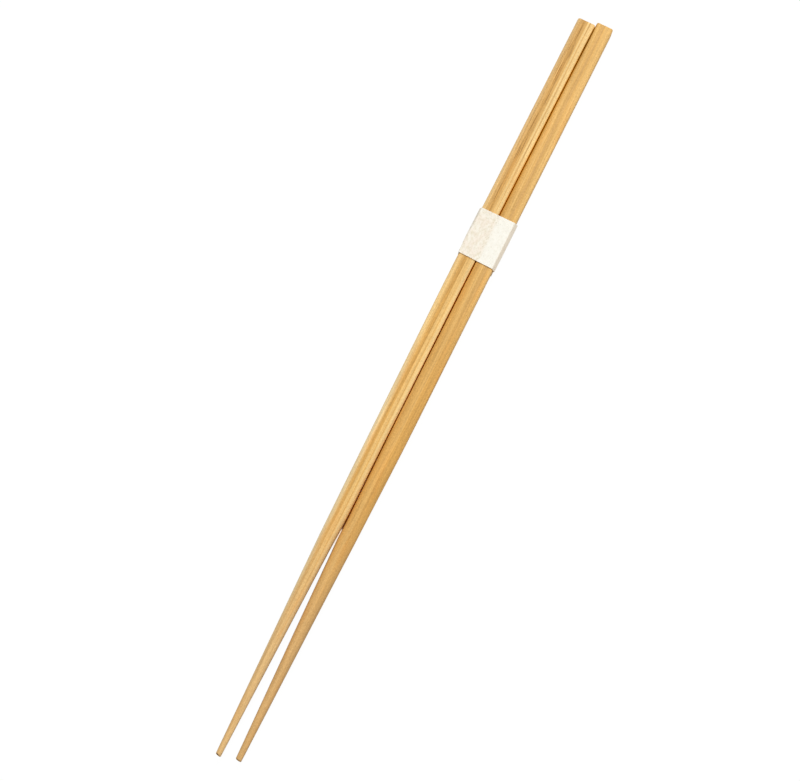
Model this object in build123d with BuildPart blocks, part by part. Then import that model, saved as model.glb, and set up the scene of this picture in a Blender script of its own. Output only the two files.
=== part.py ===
"""A pair of bamboo chopsticks lying side by side in a plain paper band.

Each chopstick is planed square at the grip and turned to a round, tapering tip.
The band is one strip of paper wrapped round both grips and glued to itself underneath.
The sticks lie along Y with the tips towards -Y, the band's underside lies at Z = 0.
"""
from build123d import *

import os

os.makedirs("parts", exist_ok=True)

# Planed stock of one chopstick
stick_length = 240.0
grip_width = 5.2
grip_height = 5.2
grip_edge_radius = 0.6
butt_edge_radius = 0.5

# The flats draw in gently from the grip to the waist, and more from there to the tip: distances
# from the tip, and how far each flat is drawn in from the grip at the waist and at the tip
grip_start = 155.0
waist_start = 98.0
waist_draw = 0.1
tip_draw = 0.5

# Turned cone: its diameter at the tip, and a second diameter further up the stick
tip_diameter = 1.66
tip_edge_radius = 0.25
cone_length = 65.0
cone_base_diameter = 4.62

# How the pair lies: a narrow slit between the grips, one stick further up than the other
stick_gap = 0.25
stagger = 1.2

# Paper strip of the band, with its slack beside the grips and at the foot of its right side
paper_thickness = 0.12
band_width = 15.1
band_to_butt = 66.6
band_lap = 7.0
band_fold_radius = 0.2
band_left_slack = 0.35
band_right_slack = 0.42
band_foot_slack = 0.1
band_clearance = 0.05

# On the right the top fold lies inside the edge of the grip, the paper slopes out from it and then
# leans back in to its foot
band_fold_inset = 0.31
band_slope_drop = 0.9

# Heights: the grips lie on the two layers of paper where the strip laps
loop_floor = 2 * paper_thickness
loop_height = grip_height + 2 * band_clearance
axis_height = loop_floor + loop_height / 2

# Places: the pair is centred on Y = 0, and the band on X = 0
tip_end = -(stick_length + stagger) / 2
axis_offset = (grip_width + stick_gap) / 2
pair_middle = (band_left_slack - band_right_slack) / 2
cone_slope = (cone_base_diameter - tip_diameter) / 2 / cone_length
cone_butt_radius = tip_diameter / 2 + cone_slope * stick_length


def chopstick(axis_x, tip_y):
    """Build one chopstick whose axis lies at axis_x and whose tip is cut off at tip_y."""

    def across(distance):
        """Plane across the stick at a distance from its tip, facing the butt."""
        return Plane((axis_x, tip_y + distance, axis_height), x_dir=(1, 0, 0), z_dir=(0, 1, 0))

    with BuildPart() as stick:
        # Square stock with eased edges, straight along the grip and drawn in towards the tip
        with BuildSketch(across(0)):
            RectangleRounded(grip_width - 2 * tip_draw, grip_height - 2 * tip_draw, grip_edge_radius)
        with BuildSketch(across(waist_start)):
            RectangleRounded(grip_width - 2 * waist_draw, grip_height - 2 * waist_draw, grip_edge_radius)
        with BuildSketch(across(grip_start)):
            RectangleRounded(grip_width, grip_height, grip_edge_radius)
        with BuildSketch(across(stick_length)):
            RectangleRounded(grip_width, grip_height, grip_edge_radius)
        loft(ruled=True)

        # The cone is turned out of the stock, so the four flats run out as tongues towards the tip
        with BuildSketch(Plane((axis_x, tip_y, axis_height))):
            with BuildLine():
                Polyline(
                    (0, 0),
                    (tip_diameter / 2, 0),
                    (cone_butt_radius, stick_length),
                    (0, stick_length),
                    close=True,
                )
            make_face()
        revolve(axis=Axis((axis_x, tip_y, axis_height), (0, 1, 0)), mode=Mode.INTERSECT)

        # Both ends are sawn square and sanded
        fillet(stick.faces().sort_by(Axis.Y)[-1].edges(), radius=butt_edge_radius)
        fillet(stick.faces().sort_by(Axis.Y)[0].edges(), radius=tip_edge_radius)
    return stick


chopstick_left = chopstick(pair_middle - axis_offset, tip_end)
chopstick_right = chopstick(pair_middle + axis_offset, tip_end + stagger)

# The strip is followed along the middle of its thickness: from the end inside the lap under the left
# grip, over both grips and down the right side, then back under its own start to the outer end
pair_half_width = axis_offset + grip_width / 2
loop_left = pair_middle - pair_half_width - band_left_slack - paper_thickness / 2
loop_right = pair_middle + pair_half_width + band_right_slack + paper_thickness / 2
loop_top = loop_floor + loop_height + paper_thickness / 2
loop_foot = pair_middle + pair_half_width + band_foot_slack + paper_thickness / 2
top_fold = pair_middle + pair_half_width - band_fold_inset
fold_radius = band_fold_radius + paper_thickness / 2
lap_start_x = loop_foot - 2 * fold_radius
band_start = tip_end + stick_length - band_to_butt

with BuildPart() as paper_band:
    with BuildSketch(Plane.XZ.offset(-band_start)):
        with BuildLine():
            FilletPolyline(
                (band_lap / 2, 1.5 * paper_thickness),
                (loop_left, 1.5 * paper_thickness),
                (loop_left, loop_top),
                (top_fold, loop_top),
                (loop_right, loop_top - band_slope_drop),
                (loop_foot, paper_thickness / 2),
                (lap_start_x, paper_thickness / 2),
                radius=fold_radius,
            )
        trace(line_width=paper_thickness)
        with BuildLine():
            Line((lap_start_x, paper_thickness / 2), (-band_lap / 2, paper_thickness / 2))
        trace(line_width=paper_thickness)
    extrude(amount=band_width)

nodes = {
    "chopstick_left": chopstick_left,
    "chopstick_right": chopstick_right,
    "paper_band": paper_band,
}
for node, piece in nodes.items():
    piece.part.label = node
    export_step(piece.part, f"parts/{node}.step")
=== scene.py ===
"""Bamboo chopsticks in a paper band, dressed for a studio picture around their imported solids."""

import bpy
import numpy as np
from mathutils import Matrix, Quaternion, Vector


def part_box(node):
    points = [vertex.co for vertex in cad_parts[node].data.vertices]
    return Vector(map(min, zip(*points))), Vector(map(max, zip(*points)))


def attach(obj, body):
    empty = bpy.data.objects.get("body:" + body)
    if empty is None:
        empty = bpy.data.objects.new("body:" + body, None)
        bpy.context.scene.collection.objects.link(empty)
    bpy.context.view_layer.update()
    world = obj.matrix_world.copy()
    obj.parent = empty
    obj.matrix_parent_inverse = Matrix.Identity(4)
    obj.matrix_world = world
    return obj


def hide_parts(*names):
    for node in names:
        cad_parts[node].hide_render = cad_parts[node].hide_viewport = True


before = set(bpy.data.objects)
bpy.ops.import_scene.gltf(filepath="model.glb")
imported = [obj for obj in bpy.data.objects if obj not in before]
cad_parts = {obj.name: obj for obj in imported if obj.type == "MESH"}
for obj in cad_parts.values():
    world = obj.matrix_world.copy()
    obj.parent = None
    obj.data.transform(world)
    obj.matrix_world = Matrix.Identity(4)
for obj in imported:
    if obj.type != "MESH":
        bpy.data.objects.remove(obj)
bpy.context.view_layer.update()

# The chopsticks. Each is split along the grain from the wall of a bamboo culm, planed square with
# eased edges and turned to a round tapering tip. The ends are sawn off and sanded, and the bamboo
# is left bare. Sizes are in millimetres.
MM = 0.001
EDGE_RADIUS = 0.6
BUTT_ROUND = 0.5
TIP_ROUND = 0.25
GRIP_START = 155.0
WAIST_START = 98.0
TIP_RADIUS = 0.83
CONE_LENGTH = 65.0
CONE_BASE_RADIUS = 2.31
RUN_OUT_EASE = 0.08
RING_SPACING = 0.8
SIDE_POINTS = 16


def rounded_square(angle, half, radius):
    """Distance from the middle of a rounded square to its outline, along each angle.

    On a flat it is half / cos(angle). On a corner it is the far crossing with the corner's circle.
    """
    angle = np.abs((angle + np.pi / 4) % (np.pi / 2) - np.pi / 4)
    middle = half - radius
    flat = half / np.cos(angle)
    beside = middle * (np.cos(angle) - np.sin(angle))
    corner = middle * (np.cos(angle) + np.sin(angle)) + np.sqrt(np.maximum(radius**2 - beside**2, 0))
    return np.where(half * np.tan(angle) > middle, corner, flat)


def soft_minimum(first, second, ease):
    """The smaller of two distances, with the edge where they cross eased over a small width.

    It is a blend of the two by how far they differ, less a bow that is deepest where they are equal.
    """
    share = np.clip(0.5 + 0.5 * (second - first) / ease, 0, 1)
    return second + (first - second) * share - ease * share * (1 - share)


def sanded_end(radius, cap_rings=7, round_rings=7):
    """Rings of a sawn and sanded end, from its middle outwards.

    Gives each ring's distance from the end, how far its outline draws in, and its share of the
    section: first a flat cap that grows from the middle, then a quarter circle round the edge.
    """
    cap = np.linspace(0, 1, cap_rings, endpoint=False)[1:]
    turn = np.linspace(0, np.pi / 2, round_rings)
    distance = np.concatenate([0 * cap, radius * (1 - np.cos(turn))])
    drawn_in = np.concatenate([0 * cap + radius, radius * (1 - np.sin(turn))])
    share = np.concatenate([cap, 0 * turn + 1])
    return distance, drawn_in, share


def chopstick_rings(half, length, girth, waist_draw, tip_draw):
    """Sections of one straight chopstick: X across, Y from the tip, Z up, ring after ring to the butt.

    Along each angle a section reaches to the planed square or to the turned cone, whichever is nearer.
    """
    flat = np.arctan(np.linspace(-1, 1, SIDE_POINTS, endpoint=False) * (1 - EDGE_RADIUS / half))
    corner = np.linspace(-flat[0], np.pi / 2 + flat[0], SIDE_POINTS, endpoint=False)
    side = np.concatenate([flat, corner])
    angle = (side + np.arange(4)[:, None] * np.pi / 2).ravel()

    tip, tip_in, tip_share = sanded_end(TIP_ROUND)
    butt, butt_in, butt_share = sanded_end(BUTT_ROUND)
    body = np.arange(TIP_ROUND, length - BUTT_ROUND, RING_SPACING)[1:]
    along = np.concatenate([tip, body, length - butt[::-1]])[:, None]
    drawn_in = np.concatenate([tip_in, 0 * body, butt_in[::-1]])[:, None]
    share = np.concatenate([tip_share, 0 * body + 1, butt_share[::-1]])[:, None]

    draw = np.interp(along, [0, WAIST_START, GRIP_START], [tip_draw, waist_draw, 0])
    planed = rounded_square(angle, half - draw - drawn_in, EDGE_RADIUS - drawn_in)
    slope = (CONE_BASE_RADIUS - TIP_RADIUS) / CONE_LENGTH
    turned = girth * (TIP_RADIUS + slope * along) - drawn_in
    reach = soft_minimum(planed, turned, RUN_OUT_EASE) * share
    return np.stack(np.broadcast_arrays(reach * np.cos(angle), along, reach * np.sin(angle)), -1)


def closed_tube(name, rings, first, last):
    """Mesh of a grid of rings joined side by side, closed by a fan to one point at each end."""
    count, around = rings.shape[:2]
    index = 1 + np.arange(count * around).reshape(count, around)
    beside = np.roll(index, -1, axis=1)
    walls = np.stack([index[:-1], index[1:], beside[1:], beside[:-1]], -1).reshape(-1, 4)
    start = np.stack([np.zeros(around, int), index[0], beside[0]], -1)
    finish = np.stack([np.full(around, 1 + count * around), beside[-1], index[-1]], -1)
    points = np.concatenate([[first], rings.reshape(-1, 3), [last]])
    mesh = bpy.data.meshes.new(name)
    mesh.from_pydata(points * MM, [], [*start.tolist(), *walls.tolist(), *finish.tolist()])
    mesh.shade_smooth()
    return mesh


def tag(mesh, name, values):
    """Keep one vector or one number for each point of a mesh, for its material to read."""
    kind, field = ("FLOAT_VECTOR", "vector") if values.ndim == 2 else ("FLOAT", "value")
    mesh.attributes.new(name, kind, "POINT").data.foreach_set(field, values.ravel().astype(np.float32))


class Shade:
    """A socket of a shader tree, for use in Python expressions.

    Operators between values add Math nodes. The node method adds any other node of the tree.
    """

    def __init__(self, tree, socket=None):
        self.tree = tree
        self.socket = socket

    def node(self, kind, settings=None, inputs=None, output=0):
        """Add a node, set its settings first, then set or link its inputs, and give one output."""
        made = self.tree.nodes.new(kind)
        for key, value in (settings or {}).items():
            if key == "stops":
                made.color_ramp.elements.remove(made.color_ramp.elements[1])
                made.color_ramp.elements[0].position = value[0][0]
                made.color_ramp.elements[0].color = value[0][1]
                for place, colour in value[1:]:
                    made.color_ramp.elements.new(place).color = colour
            else:
                setattr(made, key, value)
        for key, value in (inputs or {}).items():
            if isinstance(value, Shade):
                self.tree.links.new(value.socket, made.inputs[key])
            else:
                made.inputs[key].default_value = value
        return Shade(self.tree, made.outputs[output] if len(made.outputs) else None)

    def out(self, name):
        """Another output of the node that this socket belongs to."""
        return Shade(self.tree, self.socket.node.outputs[name])

    def math(self, operation, first, second=0.0):
        """The operation done on two values by a Math node."""
        return self.node("ShaderNodeMath", {"operation": operation}, {0: first, 1: second})

    def __add__(self, other):
        return self.math("ADD", self, other)

    def __sub__(self, other):
        return self.math("SUBTRACT", self, other)

    def __rsub__(self, other):
        return self.math("SUBTRACT", other, self)

    def __mul__(self, other):
        return self.math("MULTIPLY", self, other)

    def __abs__(self):
        return self.math("ABSOLUTE", self)

    __radd__ = __add__
    __rmul__ = __mul__

    def rise(self, low, high):
        """0 below low, 1 above high, and a smooth step between them."""
        inputs = {"Value": self, "From Min": low, "From Max": high}
        return self.node("ShaderNodeMapRange", {"interpolation_type": "SMOOTHSTEP"}, inputs)

    def mix(self, first, second, factor):
        """The first colour where the factor is 0, the second where it is 1, and between them a blend."""
        inputs = {0: factor, 6: first, 7: second}
        return self.node("ShaderNodeMix", {"data_type": "RGBA"}, inputs, output=2)

    def toward(self, colour, factor):
        """This colour mixed towards another one."""
        return self.mix(self, colour, factor)

    def scaled(self, factor):
        """This colour or vector times a value."""
        return self.node("ShaderNodeVectorMath", {"operation": "SCALE"}, {0: self, "Scale": factor})

    def vector(self, x, y, z):
        """Three values as one vector."""
        return self.node("ShaderNodeCombineXYZ", None, {"X": x, "Y": y, "Z": z})

    def noise(self, place, scale=1.0, detail=2.0, distortion=0.0):
        """Smooth noise about 0.5 at a place. Detail adds finer noise, and distortion bends its lines."""
        inputs = {"Vector": place, "Scale": scale, "Detail": detail, "Distortion": distortion}
        return self.node("ShaderNodeTexNoise", None, inputs)


def linear(red, green, blue):
    """A screen colour, 0 to 255, as the linear colour that a shader takes.

    It is the sRGB curve: a straight start for the darkest values, then a power of 2.4.
    """
    screen = np.array([red, green, blue]) / 255
    light = np.where(screen <= 0.04045, screen / 12.92, ((screen + 0.055) / 1.055) ** 2.4)
    return (*light.tolist(), 1.0)


def new_material(name):
    """An empty node material and a handle on its tree."""
    material = bpy.data.materials.new(name)
    material.use_nodes = True
    material.node_tree.nodes.clear()
    return material, Shade(material.node_tree)


def surface(tree, colour, roughness, normal, gloss):
    """Principled surface wired to the material's output."""
    inputs = {"Base Color": colour, "Roughness": roughness, "Normal": normal, "Specular IOR Level": gloss}
    shader = tree.node("ShaderNodeBsdfPrincipled", None, inputs)
    tree.node("ShaderNodeOutputMaterial", None, {"Surface": shader})


PALE = linear(246, 218, 166)
CREAM = linear(243, 206, 141)
STRAW = linear(240, 195, 122)
HONEY = linear(229, 180, 105)
REED = linear(220, 174, 107)
HUSK = linear(209, 161, 92)
AMBER = linear(220, 168, 91)
TOAST = linear(208, 156, 82)
OAT = linear(228, 189, 130)
WHEAT = linear(235, 189, 117)
EMBER = linear(222, 152, 70)
FIBRE_BROWN = linear(160, 102, 46)
PORE_BROWN = linear(108, 62, 26)
# Painted light and shade: amber bounce light for the side in the slit, and dun shade for the sides of the
# turned end.
SLIT_BOUNCE_AMBER = linear(244, 164, 22)
SIDE_SHADE_DUN = linear(120, 100, 84)
PIT_BROWN = linear(58, 34, 14)
PIT_RADIUS = 0.36
TIP_TAN = linear(228, 190, 136)
TIP_BUFF = linear(220, 179, 124)
TIP_TURN = 150.0
BUTT_TURN = 146.0

# Cells of each pattern in a millimetre, across and along the grain.
WANDER_RATE = (0.3, 0.02)
BUNDLE_RATE = (1.9, 0.011)
FIBRE_RATE = (2.6, 0.05)
FLECK_RATE = (3.0, 1.7)
PORE_RATE = (5.0, 0.12)
CLOUD_RATE = (0.5, 0.05)

# Width that the grain wanders over.
WANDER_WIDTH = 0.2

# Stretches of the stick, from the tip, over which a tone comes or goes.
TIP_TONE_END = (25.0, 90.0)
PALE_EDGE_END = (100.0, 145.0)
PORES_START = (100.0, 200.0)
STREAKS_START = (60.0, 110.0)
# Stretches of the painted shade on the side in the slit.
FORK_DARK_END = (84.0, 115.0)
UPPER_DARK_START = (160.0, 210.0)
BUTT_DARK_START = (222.0, 236.0)

# Where each tone or pattern begins and is full: in the layers' green, the width's share or the noise.
DENSE_PART = (0.37, 0.52)
LEFT_EDGE_PART = (0.12, 0.37)
CORE_PART = (0.12, 0.42)
PORE_PART = (0.52, 0.68)
EMBER_PART = (0.02, 0.22)

# How strongly each tone or pattern shows in the colour, the relief and the roughness.
TIP_TONE = 0.65
EMBER_TONE = 0.25
CORE_TONE = 0.16
END_TONE = 0.2
END_CORE_TONE = 0.5
PIT_TONE = 0.9
STREAK_TONE = 0.42
UPPER_STREAK_TONE = 0.28
FLECK_TONE = 0.5
CLOUD_TONE = 0.15
# Strengths of the painted shade on the side in the slit.
FORK_DARK = 0.15
UPPER_DARK = 0.25
BUTT_DARK = 0.3
FLECK_RELIEF = 0.6
CORE_RELIEF = 0.3
PORE_RELIEF = 0.8
RELIEF_STRENGTH = 0.6
RELIEF_DEPTH = 0.03
BAMBOO_ROUGHNESS = 0.62
CORE_POLISH = 0.1
FIBRE_ROUGHNESS = 0.3
BAMBOO_GLOSS = 0.1


def bamboo(
    name, width, lower, upper, change, tip, pale_edge, tip_drift, butt_drift, pore_depth, pits, seed
):
    """Bare bamboo: layers of the culm wall across the stick, with bundles, pores and fibres along it.

    The pattern is solid: bundles are long cells, so they show as streaks on the flats, as dashes where
    the cone cuts them, and as dots on the sawn ends. Over the stretch of change the layers turn from the
    lower to the upper ones. The drifts are how fast the grain runs off the stick's own line towards the
    tip and the butt. The left edge may be paler below the grip. The turned end is darkened along its
    sides by painted shade. The side in the slit carries painted light: deep amber for the light that
    reaches it only from bamboo to bamboo, and painted shade towards the fork, the upper grip and the
    butt. Pits are the places of single dark pores that lie open.
    """
    material, tree = new_material(name)
    grain = tree.node("ShaderNodeAttribute", {"attribute_name": "grain"}, output="Vector")
    end_grain = tree.node("ShaderNodeAttribute", {"attribute_name": "end_grain"}, output="Fac")
    slit_side = tree.node("ShaderNodeAttribute", {"attribute_name": "slit_side"}, output="Fac")
    rim = tree.node("ShaderNodeAttribute", {"attribute_name": "rim"}, output="Fac")
    axes = grain.node("ShaderNodeSeparateXYZ", None, {"Vector": grain})
    along, height = axes.out("Y"), axes.out("Z")
    wander = tree.noise(tree.vector(seed, along * WANDER_RATE[1], height * WANDER_RATE[0])) - 0.5
    run_off = tip_drift * tree.math("MAXIMUM", TIP_TURN - along, 0.0)
    run_off = run_off + butt_drift * tree.math("MAXIMUM", along - BUTT_TURN, 0.0)
    across = axes + wander * WANDER_WIDTH + run_off

    def cells(rate, shift_across=0.0, shift_up=0.0):
        """Place in the wood counted in cells of a pattern, and shifted so that the patterns differ."""
        x = across * rate[0] + shift_across
        return tree.vector(x, along * rate[1], height * rate[0] + shift_up)

    share = across * (1 / width) + 0.5
    colour = tree.node("ShaderNodeValToRGB", {"stops": lower}, {"Fac": share})
    top_colour = tree.node("ShaderNodeValToRGB", {"stops": upper}, {"Fac": share})
    colour = colour.toward(top_colour, along.rise(*change))
    green = tree.node("ShaderNodeSeparateColor", None, {"Color": colour}, output="Green")
    dense = 1 - green.rise(*DENSE_PART)
    colour = colour.toward(tip, TIP_TONE * (1 - along.rise(*TIP_TONE_END)))
    left_edge = 1 - (axes * (1 / width) + 0.5).rise(*LEFT_EDGE_PART)
    colour = colour.toward(PALE, pale_edge * left_edge * (1 - along.rise(*PALE_EDGE_END)))

    bundle = tree.node("ShaderNodeTexVoronoi", None, {"Vector": cells(BUNDLE_RATE, seed), "Scale": 1.0})
    core = 1 - bundle.rise(*CORE_PART)
    tint = tree.node("ShaderNodeSeparateColor", None, {"Color": bundle.out("Color")})
    fibres = tree.noise(cells(FIBRE_RATE, shift_up=seed), detail=4.0) - 0.5
    flecks = tree.noise(cells(FLECK_RATE, shift_up=-seed), detail=2.0) - 0.5
    pores = tree.noise(cells(PORE_RATE, shift_up=2 * seed), detail=1.0)
    pores = pores.rise(*PORE_PART) * dense * along.rise(*PORES_START)
    cloud = tree.noise(cells(CLOUD_RATE, seed)) - 0.5

    colour = colour.toward(EMBER, EMBER_TONE * cloud.rise(*EMBER_PART))
    colour = colour.toward(FIBRE_BROWN, core * tint * CORE_TONE)
    colour = colour.toward(PORE_BROWN, pores * pore_depth)
    colour = colour.toward(FIBRE_BROWN, end_grain * (END_TONE + END_CORE_TONE * core))
    # Painted light: amber bounce light on the side in the slit, then painted shade along the sides of the
    # turned end and in the fork.
    colour = colour.toward(SLIT_BOUNCE_AMBER, slit_side).toward(SIDE_SHADE_DUN, rim)
    for pit in pits:
        points = {0: grain, 1: pit}
        away = tree.node("ShaderNodeVectorMath", {"operation": "DISTANCE"}, points, output="Value")
        inside = 1 - away.rise(PIT_RADIUS / 2, 1.5 * PIT_RADIUS)
        colour = colour.toward(PIT_BROWN, PIT_TONE * inside)
    streaks = fibres * (STREAK_TONE + UPPER_STREAK_TONE * along.rise(*STREAKS_START))
    # Painted shade on the side in the slit, towards the fork, the upper grip and the butt.
    painted_slit_shade = FORK_DARK * (1 - along.rise(*FORK_DARK_END)) + UPPER_DARK * along.rise(*UPPER_DARK_START)
    painted_slit_shade = slit_side * painted_slit_shade + BUTT_DARK * slit_side * along.rise(*BUTT_DARK_START)
    colour = colour.scaled(1 + streaks + FLECK_TONE * flecks + CLOUD_TONE * cloud - painted_slit_shade)

    relief = fibres + FLECK_RELIEF * flecks + CORE_RELIEF * core - PORE_RELIEF * pores
    bump = {"Strength": RELIEF_STRENGTH, "Distance": RELIEF_DEPTH * MM, "Height": relief}
    normal = tree.node("ShaderNodeBump", None, bump)
    roughness = BAMBOO_ROUGHNESS - CORE_POLISH * core + FIBRE_ROUGHNESS * fibres
    surface(tree, colour, roughness, normal, BAMBOO_GLOSS)
    return material


LIE_PLACES = (0.0, 40.0, 60.0, 73.0, 98.0, 150.0, 185.0, 240.0)
LIE_EASE = 4.0
SLIT_PLACES = (67.0, 74.0, 84.0, 98.0, 155.0, 232.0, 238.0)
TIP_CUT_LENGTH = 3.0

# A point faces the side by 0 on top of the stick and by 1 at its side. The painted shade of the sides and
# the fork starts at one facing and is full at the next, and it fades along the stick. The facing where
# the painted light of the slit starts changes along the stick.
SIDE_FACING = (0.5, 0.9)
SIDE_END = (45.0, 75.0)
FORK_FACING = (0.9, 0.96)
FORK_PLACES = (45.0, 62.0, 70.0, 76.0)
SLIT_SIDE_PLACES = (66.0, 74.0, 105.0, 200.0)
SLIT_SIDE_FACING = (1.0, 0.9, 0.74, 0.67, 0.67, 1.0)
SLIT_SIDE_EASE = 0.06
BUTT_MARGIN = 1.0


def chopstick(node, inner, girth, waist_draw, tip_draw, tip_cut, lie, slit, side_shade, **layers):
    """Dress one chopstick in place of its solid, a little warped as bamboo is.

    Lie is how far the stick lies to the right of its straight line, at places along it with eased bends
    between them. The side towards the other stick, inner, follows the slit, which leans a little and
    closes at the butts. The tip is cut aslant, shorter on its left by tip_cut. The argument after slit
    gives three shares of painted shade, which darken the turned end along its left side, its right side
    and the fork between the sticks. The layers are those of the bamboo.
    """
    low, high = (np.array(corner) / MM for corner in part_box(node))
    width, length = high[0] - low[0], high[1] - low[1]
    rings = chopstick_rings(width / 2, length, girth, waist_draw, tip_draw)
    straight = np.concatenate([[[0, 0, 0]], rings.reshape(-1, 3), [[0, length, 0]]])
    origin = np.array([(low[0] + high[0]) / 2, low[1], (low[2] + high[2]) / 2])

    def warped(points):
        """Where points of the straight stick lie.

        Each is moved across by the bend at its place and by its share of the slit's lean, all of it on
        the inner side and none on the outer one. At the tip it is moved along by its share of the cut,
        all of it on the left and none on the right.
        """
        x, y = points[..., 0], points[..., 1]
        bends = [np.interp(y + ease, LIE_PLACES, lie) for ease in (-LIE_EASE, 0, LIE_EASE)]
        bend = np.mean(bends, axis=0)
        lean = np.interp(y, SLIT_PLACES, slit) * (0.5 + inner * x / width)
        cut = tip_cut * (0.5 - 0.5 * x / TIP_RADIUS) * np.clip(1 - y / TIP_CUT_LENGTH, 0, 1)
        return origin + points + np.stack([bend + lean, cut, 0 * cut], -1)

    mesh = closed_tube(node + "_dressed", warped(rings), warped(straight[0]), warped(straight[-1]))
    tag(mesh, "grain", straight)
    along = straight[:, 1]
    tag(mesh, "end_grain", np.isin(along, (0, length)).astype(float))
    turned = straight[:, 0] / np.maximum(np.hypot(straight[:, 0], straight[:, 2]), 1e-9)
    # Painted shade on the sides of the turned end and in the fork.
    side = np.where(turned < 0, side_shade[0], side_shade[1]) * np.interp(np.abs(turned), SIDE_FACING, (0, 1))
    side = side * np.interp(along, SIDE_END, (1, 0))
    facing = inner * turned
    fork = side_shade[2] * np.interp(facing, FORK_FACING, (0, 1)) * np.interp(along, FORK_PLACES, (0, 1, 1, 0))
    tag(mesh, "rim", np.maximum(side, fork))
    # Where the painted light and shade of the slit lie along the stick and round it.
    slit_ends = (*SLIT_SIDE_PLACES, length - BUTT_MARGIN, length - BUTT_ROUND)
    slit_edge = np.interp(along, slit_ends, SLIT_SIDE_FACING)
    tag(mesh, "slit_side", np.clip((facing - slit_edge) / SLIT_SIDE_EASE, 0, 1))
    piece = bpy.data.objects.new(node + "_dressed", mesh)
    bpy.context.collection.objects.link(piece)
    mesh.materials.append(bamboo(node + "_bamboo", width, **layers))
    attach(piece, "root")
    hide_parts(node)


chopstick(
    "chopstick_left", inner=1, girth=0.96, waist_draw=0.17, tip_draw=0.6, tip_cut=0.32,
    lie=(0.495, 0.35, 0.28, 0.26, 0.18, -0.08, 0.03, 0.1),
    slit=(0.0, 0.19, 0.09, -0.02, 0.0, 0.17, 0.28),
    side_shade=(0.0, 0.18, 0.2),
    lower=[
        (0.00, CREAM), (0.17, CREAM), (0.25, STRAW), (0.335, HONEY), (0.41, AMBER), (0.52, AMBER),
        (0.57, STRAW), (0.70, STRAW), (0.735, AMBER), (0.77, STRAW), (0.84, CREAM), (1.00, CREAM),
    ],
    upper=[
        (0.00, OAT), (0.18, OAT), (0.27, REED), (0.39, REED), (0.42, HUSK), (0.54, HUSK), (0.58, REED),
        (0.66, HONEY), (0.71, CREAM), (0.77, CREAM), (0.795, REED), (0.825, REED), (0.86, CREAM),
        (1.00, CREAM),
    ],
    change=(125.0, 205.0), tip=TIP_TAN, pale_edge=1.0, tip_drift=0.0065, butt_drift=0.006,
    pore_depth=0.6, pits=[(-0.25, 0.0, 0.45)], seed=3.0,
)
chopstick(
    "chopstick_right", inner=-1, girth=1.03, waist_draw=0.0, tip_draw=0.5, tip_cut=0.22,
    lie=(0.485, 0.105, -0.06, -0.1, 0.04, -0.04, -0.02, 0.0),
    slit=(0.0, 0.19, 0.09, -0.02, 0.0, 0.17, 0.15),
    side_shade=(0.08, 0.26, 0.5),
    lower=[
        (0.00, TOAST), (0.14, AMBER), (0.44, HONEY), (0.51, HONEY), (0.54, AMBER), (1.00, AMBER),
    ],
    upper=[
        (0.18, TOAST), (0.34, HONEY), (0.46, WHEAT), (0.53, HONEY), (0.62, REED), (0.72, REED),
        (0.80, HONEY), (0.86, WHEAT), (1.00, WHEAT),
    ],
    change=(110.0, 165.0), tip=TIP_BUFF, pale_edge=0.0, tip_drift=0.0, butt_drift=0.014,
    pore_depth=0.15, pits=[], seed=17.0,
)

# The paper band. One strip of plain fibrous paper is folded round both grips and glued to itself
# where its ends lap underneath. It holds the pair together until it is slid off or torn.
PAPER = 0.12
LAP = 7.0
FOLD_RADIUS = 0.16
BULGE = 0.15
FOLD_INSET = 0.93
SLOPE_DROP = 1.1
TUCK_IN = 0.51
TUCK_DROP = 0.8
CRUMPLE_DEPTH = 0.02
GROOVE_DIP = 0.05
GROOVE_SPREAD = 0.5
EDGE_LIFT = 0.13
SHOULDER_WIDTH = 0.4
SHOULDER_DROP = 1.2
SHOULDER_SPREAD = 0.06
SQUEEZE_LEFT = 0.27
SQUEEZE_RIGHT = 0.06
SQUEEZE_REACH = (3.4, 5.4)
ASKEW_LEFT = 0.07
ASKEW_RIGHT = 0.45
COLUMNS = 90
SHARP_ANGLE = 50.0

# Where across the strip each of these begins and is full, in shares of its width from the middle: for
# the shoulder towards the upper edge, for the others towards the lower one.
LIFT_PART = (0.3, 0.5)
SHOULDER_PART = (-0.4, 0.4)
SQUEEZE_PART = (1 / 7, 0.5)
ASKEW_PART = (0.0, 0.5)


def folded_path(corners, radius, step=0.15, fold_steps=8):
    """Middle line of a strip that runs from corner to corner, with a small round fold at each corner.

    The heading is constant along a run and turns evenly along a fold's arc. The line is the running sum
    of short steps along that heading. Gives the length along the strip, the points and the headings.
    """
    legs = np.diff(corners, axis=0)
    heading = np.unwrap(np.arctan2(legs[:, 1], legs[:, 0]))
    turn = np.abs(np.diff(heading))
    cut = radius * np.tan(turn / 2)
    runs = np.zeros(2 * len(legs) - 1)
    runs[0::2] = np.hypot(*legs.T) - np.append(0, cut) - np.append(cut, 0)
    runs[1::2] = radius * turn
    counts = np.maximum(np.ceil(runs / step), fold_steps).astype(int)
    knots = np.append(0, np.cumsum(runs))
    length = np.interp(np.arange(counts.sum() + 1), np.append(0, np.cumsum(counts)), knots)
    headings = np.repeat(heading, 2)
    middle = np.interp((length[:-1] + length[1:]) / 2, knots, headings)
    steps = np.diff(length)[:, None] * np.stack([np.cos(middle), np.sin(middle)], -1)
    points = corners[0] + np.concatenate([[[0, 0]], np.cumsum(steps, axis=0)])
    return length, points, np.interp(length, knots, headings)


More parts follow.
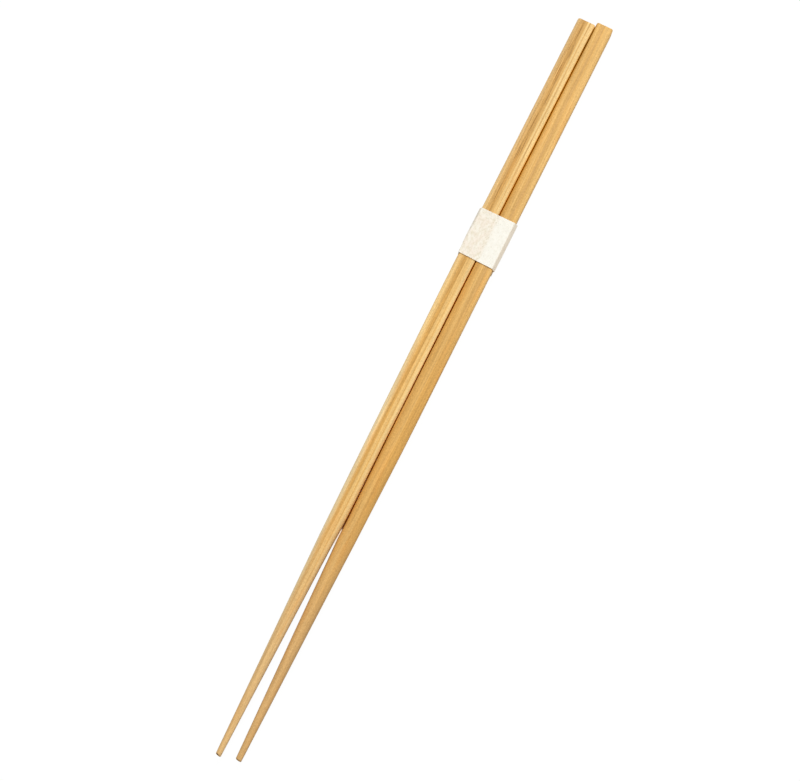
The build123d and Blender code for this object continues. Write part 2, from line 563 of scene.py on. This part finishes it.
def crumple(u, v, seed, count=36, shortest=1.6, longest=7.0):
    """Gentle unevenness of handled paper: a sum of waves with random direction, length and phase."""
    rng = np.random.default_rng(seed)
    direction = rng.uniform(0, np.pi, count)
    waves = 2 * np.pi / rng.uniform(shortest, longest, count)
    phase = rng.uniform(0, 2 * np.pi, count)
    turns = u[..., None] * waves * np.cos(direction) + v[..., None] * waves * np.sin(direction) + phase
    return np.sin(turns).sum(-1) / np.sqrt(count)


low, high = (np.array(corner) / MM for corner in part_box("paper_band"))
left, right, top = low[0] + PAPER / 2, high[0] - PAPER / 2 + BULGE, high[2] - PAPER / 2
corners = np.array([
    (LAP / 2, 1.5 * PAPER),
    (left, 1.5 * PAPER),
    (left, top),
    (right - FOLD_INSET, top),
    (right, top - SLOPE_DROP),
    (right - TUCK_IN, top - SLOPE_DROP - TUCK_DROP),
    (right - TUCK_IN, PAPER / 2),
    (-LAP / 2, PAPER / 2),
])
length, line, heading = folded_path(corners, FOLD_RADIUS)
band_width = high[1] - low[1]
across = np.linspace(-band_width / 2, band_width / 2, COLUMNS + 1)
across = np.concatenate([across, across[::-1]])
face = np.where(np.arange(len(across)) <= COLUMNS, 1, -1)

# On top of the grips the paper is crumpled, dips over the slit and lifts at its lower edge.
u, v = np.meshgrid(length, across, indexing="ij")
share = v / band_width
over_top = np.clip(line[:, 1] - high[2] + 3 * PAPER, 0, PAPER)[:, None] / PAPER
dip = -GROOVE_DIP * over_top * np.exp(-(line[:, :1] / GROOVE_SPREAD) ** 2)
lift = EDGE_LIFT * over_top * np.interp(-share, LIFT_PART, (0, 1)) ** 2
offset = face * PAPER / 2 + over_top * CRUMPLE_DEPTH * crumple(u, v, seed=5) + dip + lift
outward = np.stack([-np.sin(heading), np.cos(heading)], -1)
place = line[:, None] + offset[..., None] * outward[:, None]

# Its sides are squeezed in towards the lower edge, its left shoulder slopes down towards the upper edge,
# and the lower edge lies askew.
squeeze = np.interp(-line[:, :1], SQUEEZE_REACH, (0, SQUEEZE_LEFT))
squeeze = squeeze - np.interp(line[:, :1], SQUEEZE_REACH, (0, SQUEEZE_RIGHT))
x = place[..., 0] + squeeze * np.interp(-share, SQUEEZE_PART, (0, 1)) ** 2
shoulder = SHOULDER_DROP * np.interp(left - x, (-SHOULDER_WIDTH, 0), (0, 1))
shoulder = shoulder * np.interp(share, SHOULDER_PART, (0, 1))
x = x - SHOULDER_SPREAD * shoulder
askew = np.interp(x, (left, right), (ASKEW_LEFT, ASKEW_RIGHT)) * np.interp(-share, ASKEW_PART, (0, 1))
rings = np.stack([x, v - askew + (low[1] + high[1]) / 2, place[..., 1] * (1 - shoulder / top)], -1)
ends = rings[0].mean(0), rings[-1].mean(0)
mesh = closed_tube("paper_band_dressed", rings, *ends)
mesh.set_sharp_from_angle(angle=np.radians(SHARP_ANGLE))
sheet = np.stack([u, v, 0 * u], -1).reshape(-1, 3)
tag(mesh, "sheet", np.concatenate([sheet[:1], sheet, sheet[-1:]]))
piece = bpy.data.objects.new("paper_band_dressed", mesh)
bpy.context.collection.objects.link(piece)

PAPER_WHITE = linear(253, 250, 239)
PAPER_CREAM = linear(252, 246, 232)
PULP_SHADE = linear(224, 210, 180)
PULP_PINK = linear(250, 232, 216)
# Painted shade for the sloping strip past the fold.
SLOPE_SHADE_TAN = linear(224, 200, 168)
FLECK_OLIVE = linear(204, 196, 164)
FIBRE_GREY = linear(196, 186, 164)
FIBRE_STRETCH = 0.65

# Stretches of the strip, past the groove or the fold, over which a tone comes or goes.
CLOUDY_END = (-0.3, 1.0)
CLOUDY_WANDER = 2.0
SLIT_START = (-1.4, 0.3)
SLOPE_START = (-0.25, 0.08)

# Where in its noise each pattern begins and is full. A fibre is a line along one level of its noise.
PULP_PART = (0.34, 0.76)
BLUSH_PART = (0.36, 0.66)
SPECK_PART = (0.54, 0.72)
LONG_FIBRE_LEVEL = 0.5
LONG_FIBRE_BREADTH = 0.012
SHORT_FIBRE_LEVEL = 0.52
SHORT_FIBRE_BREADTH = 0.014

# How strongly each tone or pattern shows in the colour, the relief and the roughness. Of three values
# the first is for all the strip, the second is added on its cloudy half and the third over the slit.
PULP_TONE = (0.12, 0.38, 0.25)
SPECK_TONE = (0.2, 0.1, 0.4)
BLUSH_TONE = 0.4
# Strength of the painted shade past the fold, fixed and with the blush.
SLOPE_SHADE_TONE = 0.3
SLOPE_SHADE_BLUSH_TONE = 0.4
FIBRE_TONE = 0.35
LONG_FIBRE_SHARE = 0.6
SHORT_FIBRE_SHARE = 0.4
PULP_RELIEF = 0.6
SPECK_RELIEF = 0.3
FIBRE_RELIEF = 0.5
PAPER_RELIEF_STRENGTH = 0.4
PAPER_RELIEF_DEPTH = 0.04
PAPER_ROUGHNESS = 0.85
SPECK_ROUGHNESS = 0.1
PAPER_GLOSS = 0.2


def washi(name, groove, fold):
    """Plain fibrous paper: cloudy pulp with olive specks and with long and short grey fibres in it.

    The half that lies on the left grip is creamier and cloudier than the half beyond the groove. Past the
    fold on the right the strip is tinted tan as painted shade. Groove and fold are lengths along the
    strip.
    """
    material, tree = new_material(name)
    place = tree.node("ShaderNodeAttribute", {"attribute_name": "sheet"}, output="Vector")
    axes = tree.node("ShaderNodeSeparateXYZ", None, {"Vector": place})
    place = tree.vector(axes, axes.out("Y") * FIBRE_STRETCH, 0.0)
    pulp = tree.noise(place, scale=1.3, detail=2.0)
    blush = tree.noise(place, scale=0.6, detail=2.0)
    specks = tree.noise(place, scale=2.8, detail=2.0)
    long_fibre = tree.noise(place, scale=0.45, detail=1.0, distortion=1.2) - LONG_FIBRE_LEVEL
    long_fibre = 1 - abs(long_fibre).rise(0.0, LONG_FIBRE_BREADTH)
    short_fibre = tree.noise(place, scale=1.3, detail=1.0, distortion=0.8) - SHORT_FIBRE_LEVEL
    short_fibre = 1 - abs(short_fibre).rise(0.0, SHORT_FIBRE_BREADTH)
    fibres = LONG_FIBRE_SHARE * long_fibre + SHORT_FIBRE_SHARE * short_fibre

    past_groove, past_fold = axes - groove, axes - fold
    wandering = past_groove + CLOUDY_WANDER * (pulp - 0.5) + CLOUDY_WANDER * (blush - 0.5)
    cloudy = 1 - wandering.rise(*CLOUDY_END)
    over_slit = cloudy * past_groove.rise(*SLIT_START)

    def strength(everywhere, on_cloudy, on_slit):
        """How strongly a tone shows: everywhere, with more on the cloudy half and over the slit."""
        return everywhere + on_cloudy * cloudy + on_slit * over_slit

    colour = tree.mix(PAPER_WHITE, PAPER_CREAM, cloudy)
    colour = colour.toward(PULP_PINK, cloudy * blush.rise(*BLUSH_PART) * BLUSH_TONE)
    colour = colour.toward(PULP_SHADE, pulp.rise(*PULP_PART) * strength(*PULP_TONE))
    colour = colour.toward(FLECK_OLIVE, specks.rise(*SPECK_PART) * strength(*SPECK_TONE))
    # Painted shade: past the fold the sloping strip is tinted tan.
    slope_shade = SLOPE_SHADE_TONE + SLOPE_SHADE_BLUSH_TONE * blush
    colour = colour.toward(SLOPE_SHADE_TAN, slope_shade * past_fold.rise(*SLOPE_START))
    colour = colour.toward(FIBRE_GREY, fibres * FIBRE_TONE)
    relief = pulp * PULP_RELIEF + specks * SPECK_RELIEF + fibres * FIBRE_RELIEF
    bump = {"Strength": PAPER_RELIEF_STRENGTH, "Distance": PAPER_RELIEF_DEPTH * MM, "Height": relief}
    normal = tree.node("ShaderNodeBump", None, bump)
    surface(tree, colour, PAPER_ROUGHNESS + SPECK_ROUGHNESS * (specks - 0.5), normal, PAPER_GLOSS)
    return material


groove = length[np.argmin(np.hypot(line[:, 0], line[:, 1] - top))]
fold = length[np.argmin(np.hypot(line[:, 0] - right + FOLD_INSET, line[:, 1] - top))]
mesh.materials.append(washi("band_paper", groove, fold))
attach(piece, "root")
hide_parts("paper_band")

# The table top and the light. A matt white sheet under the pair shows as white, apart from painted shade,
# dark brown, under the grips and a painted warm tint of light bounced from the bamboo where the sticks
# part. A broad soft lamp hangs overhead, with a weaker one on the right and even white light from all
# round.
FLOOR_SIZE = 6.0
FLOOR_DROP = 0.02
DARK_MIDDLE = -0.25
DARK_HALF_WIDTH = 0.45
DARK_EASE = 0.15
DARK_START = (-49.2, -48.0)
TINT_START = (-56.0, -49.0)
BUTT_END = (119.0, 119.5)
SHEET_WHITE = (1, 1, 1, 1)
SHEET_GREY = (0.4, 0.4, 0.4, 1)
SHEET_GLOW = 1.13
SHADOW_SHARE = 0.15
# Painted shade under the grips and painted warm bounce light in the fork.
PAINTED_SHADE_BROWN = linear(80, 30, 0)
PAINTED_BOUNCE_PEACH = linear(255, 222, 190)
floor_mesh = bpy.data.meshes.new("table_top")
floor_corners = np.array([[-1, -1, 0], [1, -1, 0], [1, 1, 0], [-1, 1, 0]]) * FLOOR_SIZE / 2
floor_mesh.from_pydata(floor_corners - np.array([0, 0, FLOOR_DROP * MM]), [], [[0, 1, 2, 3]])
floor = bpy.data.objects.new("table_top", floor_mesh)
bpy.context.collection.objects.link(floor)

material, tree = new_material("white_sheet")
path = tree.node("ShaderNodeLightPath", output="Is Camera Ray")
seen = path + path.out("Is Glossy Ray") + path.out("Is Transmission Ray")
place = tree.node("ShaderNodeTexCoord", output="Object").scaled(1 / MM)
axes = tree.node("ShaderNodeSeparateXYZ", None, {"Vector": place})
along = axes.out("Y")
beside = abs(axes - DARK_MIDDLE).rise(DARK_HALF_WIDTH, DARK_HALF_WIDTH + DARK_EASE)
before = 1 - along.rise(*DARK_START)
past_butts = along.rise(*BUTT_END)
open_sheet = tree.math("MAXIMUM", tree.math("MAXIMUM", beside, before), past_butts)
in_fork = (1 - beside) * along.rise(*TINT_START) * (1 - past_butts)
matt = tree.node("ShaderNodeBsdfDiffuse", None, {"Color": SHEET_GREY})
# The sheet's colour carries painted warm bounce light in the fork and painted shade under the grips.
colour = tree.mix(SHEET_WHITE, PAINTED_BOUNCE_PEACH, in_fork).toward(PAINTED_SHADE_BROWN, 1 - open_sheet)
glow = tree.node("ShaderNodeEmission", None, {"Color": colour, "Strength": SHEET_GLOW})
glow_share = (1 - SHADOW_SHARE * open_sheet) * seen
shown = tree.node("ShaderNodeMixShader", None, {0: glow_share, 1: matt, 2: glow})
tree.node("ShaderNodeOutputMaterial", None, {"Surface": shown})
floor_mesh.materials.append(material)

ROOM_LIGHT = 0.52
world = bpy.data.worlds.new("white_room")
world.use_nodes = True
world.node_tree.nodes.clear()
room = Shade(world.node_tree)
path = room.node("ShaderNodeLightPath", output="Is Camera Ray")
seen = path + path.out("Is Glossy Ray") + path.out("Is Transmission Ray")
strength = ROOM_LIGHT + (1 - ROOM_LIGHT) * seen
background = room.node("ShaderNodeBackground", None, {"Color": (1, 1, 1, 1), "Strength": strength})
room.node("ShaderNodeOutputWorld", None, {"Surface": background})
bpy.context.scene.world = world


def soft_lamp(name, place, size, power):
    """Square area lamp at a place, facing the middle of the pair."""
    lamp = bpy.data.lights.new(name, "AREA")
    lamp.size = size
    lamp.energy = power
    holder = bpy.data.objects.new(name, lamp)
    holder.location = place
    holder.rotation_mode = "QUATERNION"
    holder.rotation_quaternion = (-Vector(place)).to_track_quat("-Z", "Y")
    bpy.context.collection.objects.link(holder)


soft_lamp("overhead_lamp", place=(-0.2, 0.56, 0.96), size=0.6, power=6.7)
soft_lamp("right_lamp", place=(0.9, 0.0, 0.35), size=0.5, power=1.45)

# The camera looks down on the pair from the tips' side, a little from the right, and is turned
# so that the pair lies aslant in the picture.
VIEW_ELEVATION = 71.0
VIEW_AZIMUTH = 10.62
VIEW_ROLL = 15.6
VIEW_DISTANCE = 900.0
VIEW_TARGET = (-2.86, -6.015, 2.9)
FOCUS_PIXELS = 3247.0
IMAGE_WIDTH = 800
SENSOR_WIDTH = 36.0

camera = bpy.data.cameras.new("camera")
camera.sensor_fit = "HORIZONTAL"
camera.sensor_width = SENSOR_WIDTH
camera.lens = FOCUS_PIXELS / IMAGE_WIDTH * SENSOR_WIDTH
azimuth, elevation = np.radians(VIEW_AZIMUTH), np.radians(VIEW_ELEVATION)
back = Vector((
    np.sin(azimuth) * np.cos(elevation),
    -np.cos(azimuth) * np.cos(elevation),
    np.sin(elevation),
))
viewer = bpy.data.objects.new("camera", camera)
viewer.location = (Vector(VIEW_TARGET) + back * VIEW_DISTANCE) * MM
viewer.rotation_mode = "QUATERNION"
roll = Quaternion((0, 0, 1), np.radians(VIEW_ROLL))
viewer.rotation_quaternion = (-back).to_track_quat("-Z", "Y") @ roll
bpy.context.collection.objects.link(viewer)
bpy.context.scene.camera = viewer
bpy.context.scene.view_settings.view_transform = "Standard"
